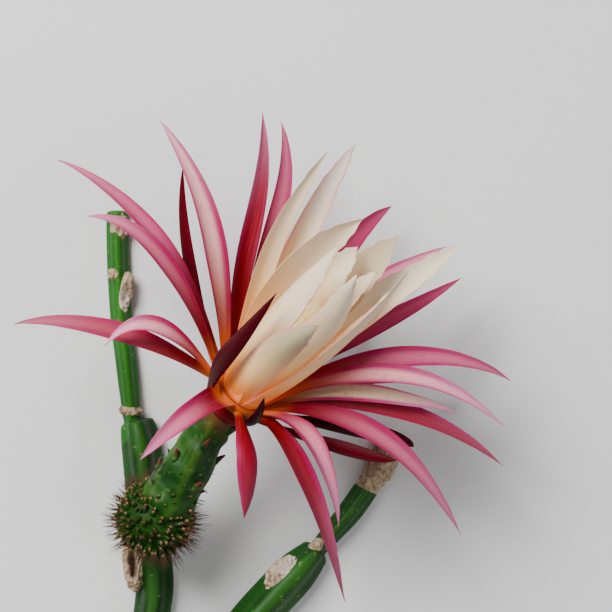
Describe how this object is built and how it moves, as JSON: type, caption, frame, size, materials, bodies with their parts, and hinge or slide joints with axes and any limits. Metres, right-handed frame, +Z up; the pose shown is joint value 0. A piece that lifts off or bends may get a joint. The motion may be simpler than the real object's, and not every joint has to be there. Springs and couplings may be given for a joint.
{
  "type": "orchid cactus",
  "caption": "Cut, forked orchid cactus stem with one large open flower of pointed pink and cream tepals; display plant that lies on a surface.",
  "frame": {"origin": "flat spot on the underside of the main stem, just below the flower's seat, on the surface it lies on", "axes": "+X right and +Y towards the top of the plant as it lies, +Z up from the surface"},
  "size_m": [0.2102, 0.2998, 0.1227],
  "materials": {
    "stem_green": "waxy green skin with tan corky scars",
    "ovary_green": "dark green warts with brown bristles",
    "tube_green": "satin green",
    "maroon_sepal": "satin dark maroon",
    "rose_tepal": "soft satin rose",
    "cream_tepal": "soft satin cream",
    "stamen_yellow": "matte pale yellow",
    "pistil_cream": "matte cream"
  },
  "bodies": {
    "root": {"stem": "stem_green", "ovary": "ovary_green", "floral_tube": "tube_green", "sepals": "maroon_sepal", "outer_tepals": "rose_tepal", "inner_tepals": "cream_tepal", "stamens": "stamen_yellow", "pistil": "pistil_cream"}
  },
  "joints": []
}
